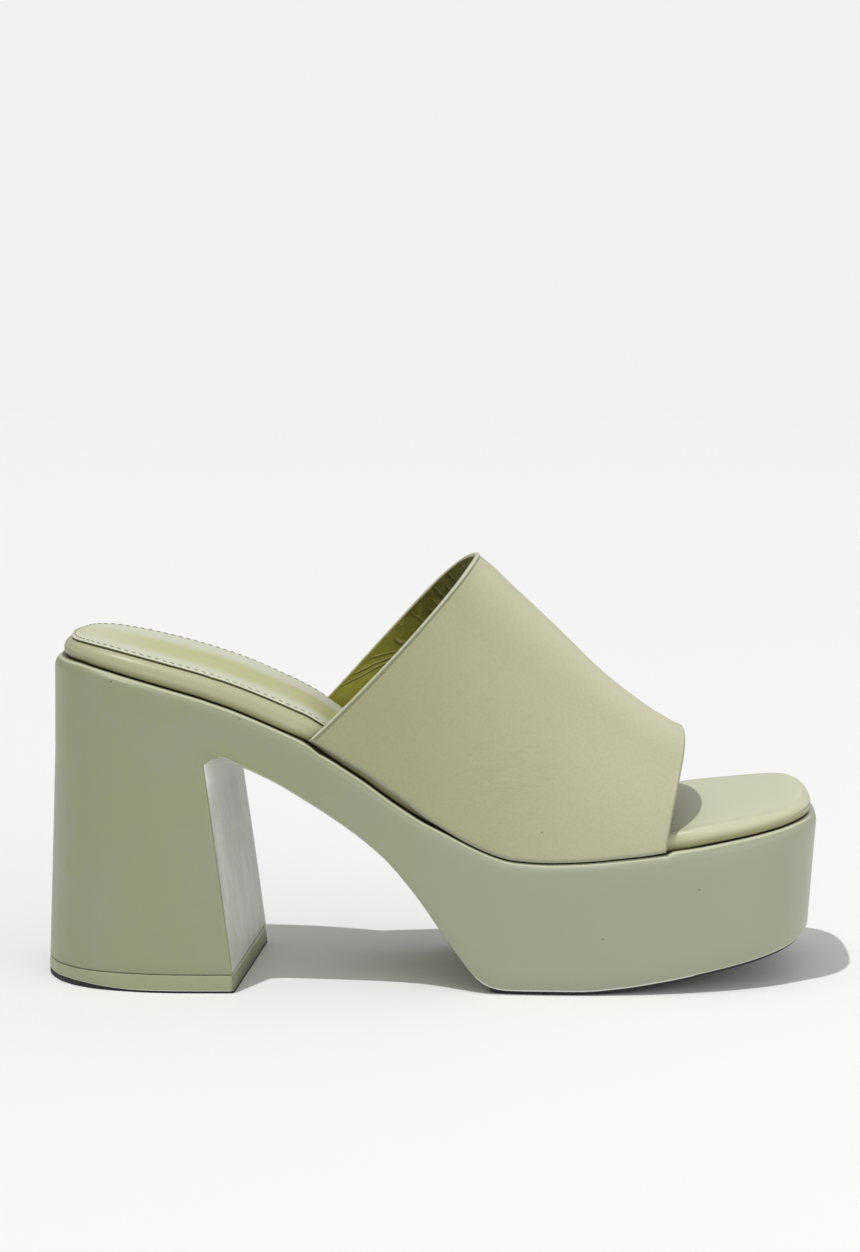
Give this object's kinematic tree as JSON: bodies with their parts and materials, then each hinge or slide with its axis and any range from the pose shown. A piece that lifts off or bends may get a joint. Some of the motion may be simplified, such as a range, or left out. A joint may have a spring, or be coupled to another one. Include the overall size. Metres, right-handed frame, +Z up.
{
  "type": "platform mule",
  "caption": "Open-toe platform mule with a tall block heel, a thick wrapped platform, a cushioned footbed and a wide smooth band over the instep.",
  "frame": {"origin": "on the floor, under the centre of the shoe's box", "axes": "+X from the heel to the toe, +Y to the inner (medial) side of this right shoe, +Z up"},
  "size_m": [0.2328, 0.0838, 0.127],
  "materials": {
    "sole_wrap": "satin",
    "lift_wrap": "satin",
    "top_piece_rubber": "matte",
    "outsole_rubber": "matte",
    "footbed_wrap": "satin",
    "sock_lining": "matte",
    "band_leather": "matte"
  },
  "bodies": {
    "root": {"sole_unit": "sole_wrap", "heel_lift": "lift_wrap", "heel_top_piece": "top_piece_rubber", "forefoot_outsole": "outsole_rubber", "footbed": "footbed_wrap", "sock": "sock_lining", "band": "band_leather"}
  },
  "joints": []
}
